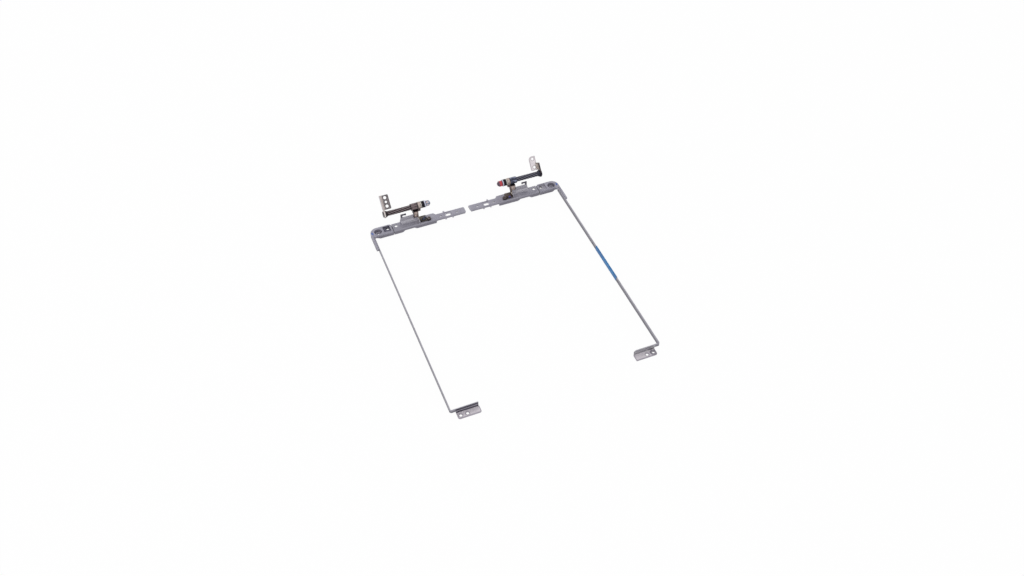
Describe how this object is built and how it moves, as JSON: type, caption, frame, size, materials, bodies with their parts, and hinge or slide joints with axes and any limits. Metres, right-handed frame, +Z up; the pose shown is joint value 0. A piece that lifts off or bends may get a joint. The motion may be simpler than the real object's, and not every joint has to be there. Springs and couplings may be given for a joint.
{
  "type": "laptop hinge pair",
  "caption": "Mirrored pair of notebook lid hinges, each a side arm with an end tab, a cast corner, a stamped rail and a friction hinge with a drilled base plate.",
  "frame": {"origin": "bottom centre of the bounding box, on the face that the end tabs and rail tabs stand on", "axes": "+X to the right along both rails and both hinge axes, +Y back from the end tabs to the hinges, +Z up, away from the surface that the arms lie on"},
  "size_m": [0.2006, 0.2558, 0.0363],
  "materials": {
    "plated_steel": "zinc-plated sheet, satin",
    "cast_zinc": "die-cast zinc, satin grey",
    "nickel_steel": "nickel-plated steel",
    "base_left_steel": "nickel-plated sheet",
    "base_right_steel": "bright nickel-plated sheet",
    "dark_steel": "oiled black oxide",
    "black_steel": "black oxide",
    "bright_steel": "zinc-plated, bright",
    "rivet_steel": "plated",
    "blue_film": "thin blue film"
  },
  "bodies": {
    "lcd_brackets": {"left_side_arm": "plated_steel", "left_corner_bracket": "cast_zinc", "left_rail": "plated_steel", "left_hinge_seat": "nickel_steel", "left_seat_screws": "black_steel", "left_arm_rivets": "rivet_steel", "left_rail_rivets": "rivet_steel", "right_side_arm": "plated_steel", "right_corner_bracket": "cast_zinc", "right_rail": "plated_steel", "right_hinge_seat": "nickel_steel", "right_seat_screws": "black_steel", "right_arm_rivets": "rivet_steel", "right_rail_rivets": "rivet_steel", "right_arm_film": "blue_film"},
    "left_base_arm": {"left_base_plate": "base_left_steel", "left_shaft": "dark_steel", "left_spiral_sleeve": "dark_steel", "left_collar_washer": "black_steel", "left_friction_washer": "bright_steel", "left_disc_springs": "black_steel", "left_lock_washer": "bright_steel", "left_nut": "bright_steel"},
    "right_base_arm": {"right_base_plate": "base_right_steel", "right_shaft": "dark_steel", "right_spiral_sleeve": "dark_steel", "right_collar_washer": "black_steel", "right_friction_washer": "bright_steel", "right_disc_springs": "black_steel", "right_lock_washer": "bright_steel", "right_nut": "bright_steel"}
  },
  "joints": [
    {"name": "left_hinge", "type": "hinge", "parent": "lcd_brackets", "child": "left_base_arm", "pos_m": [-0.04725, 0.11323, 0.0206], "axis": [1, 0, 0], "range_deg": [-5, 135]},
    {"name": "right_hinge", "type": "hinge", "parent": "lcd_brackets", "child": "right_base_arm", "pos_m": [0.04725, 0.11323, 0.0206], "axis": [1, 0, 0], "range_deg": [-10, 130]}
  ]
}
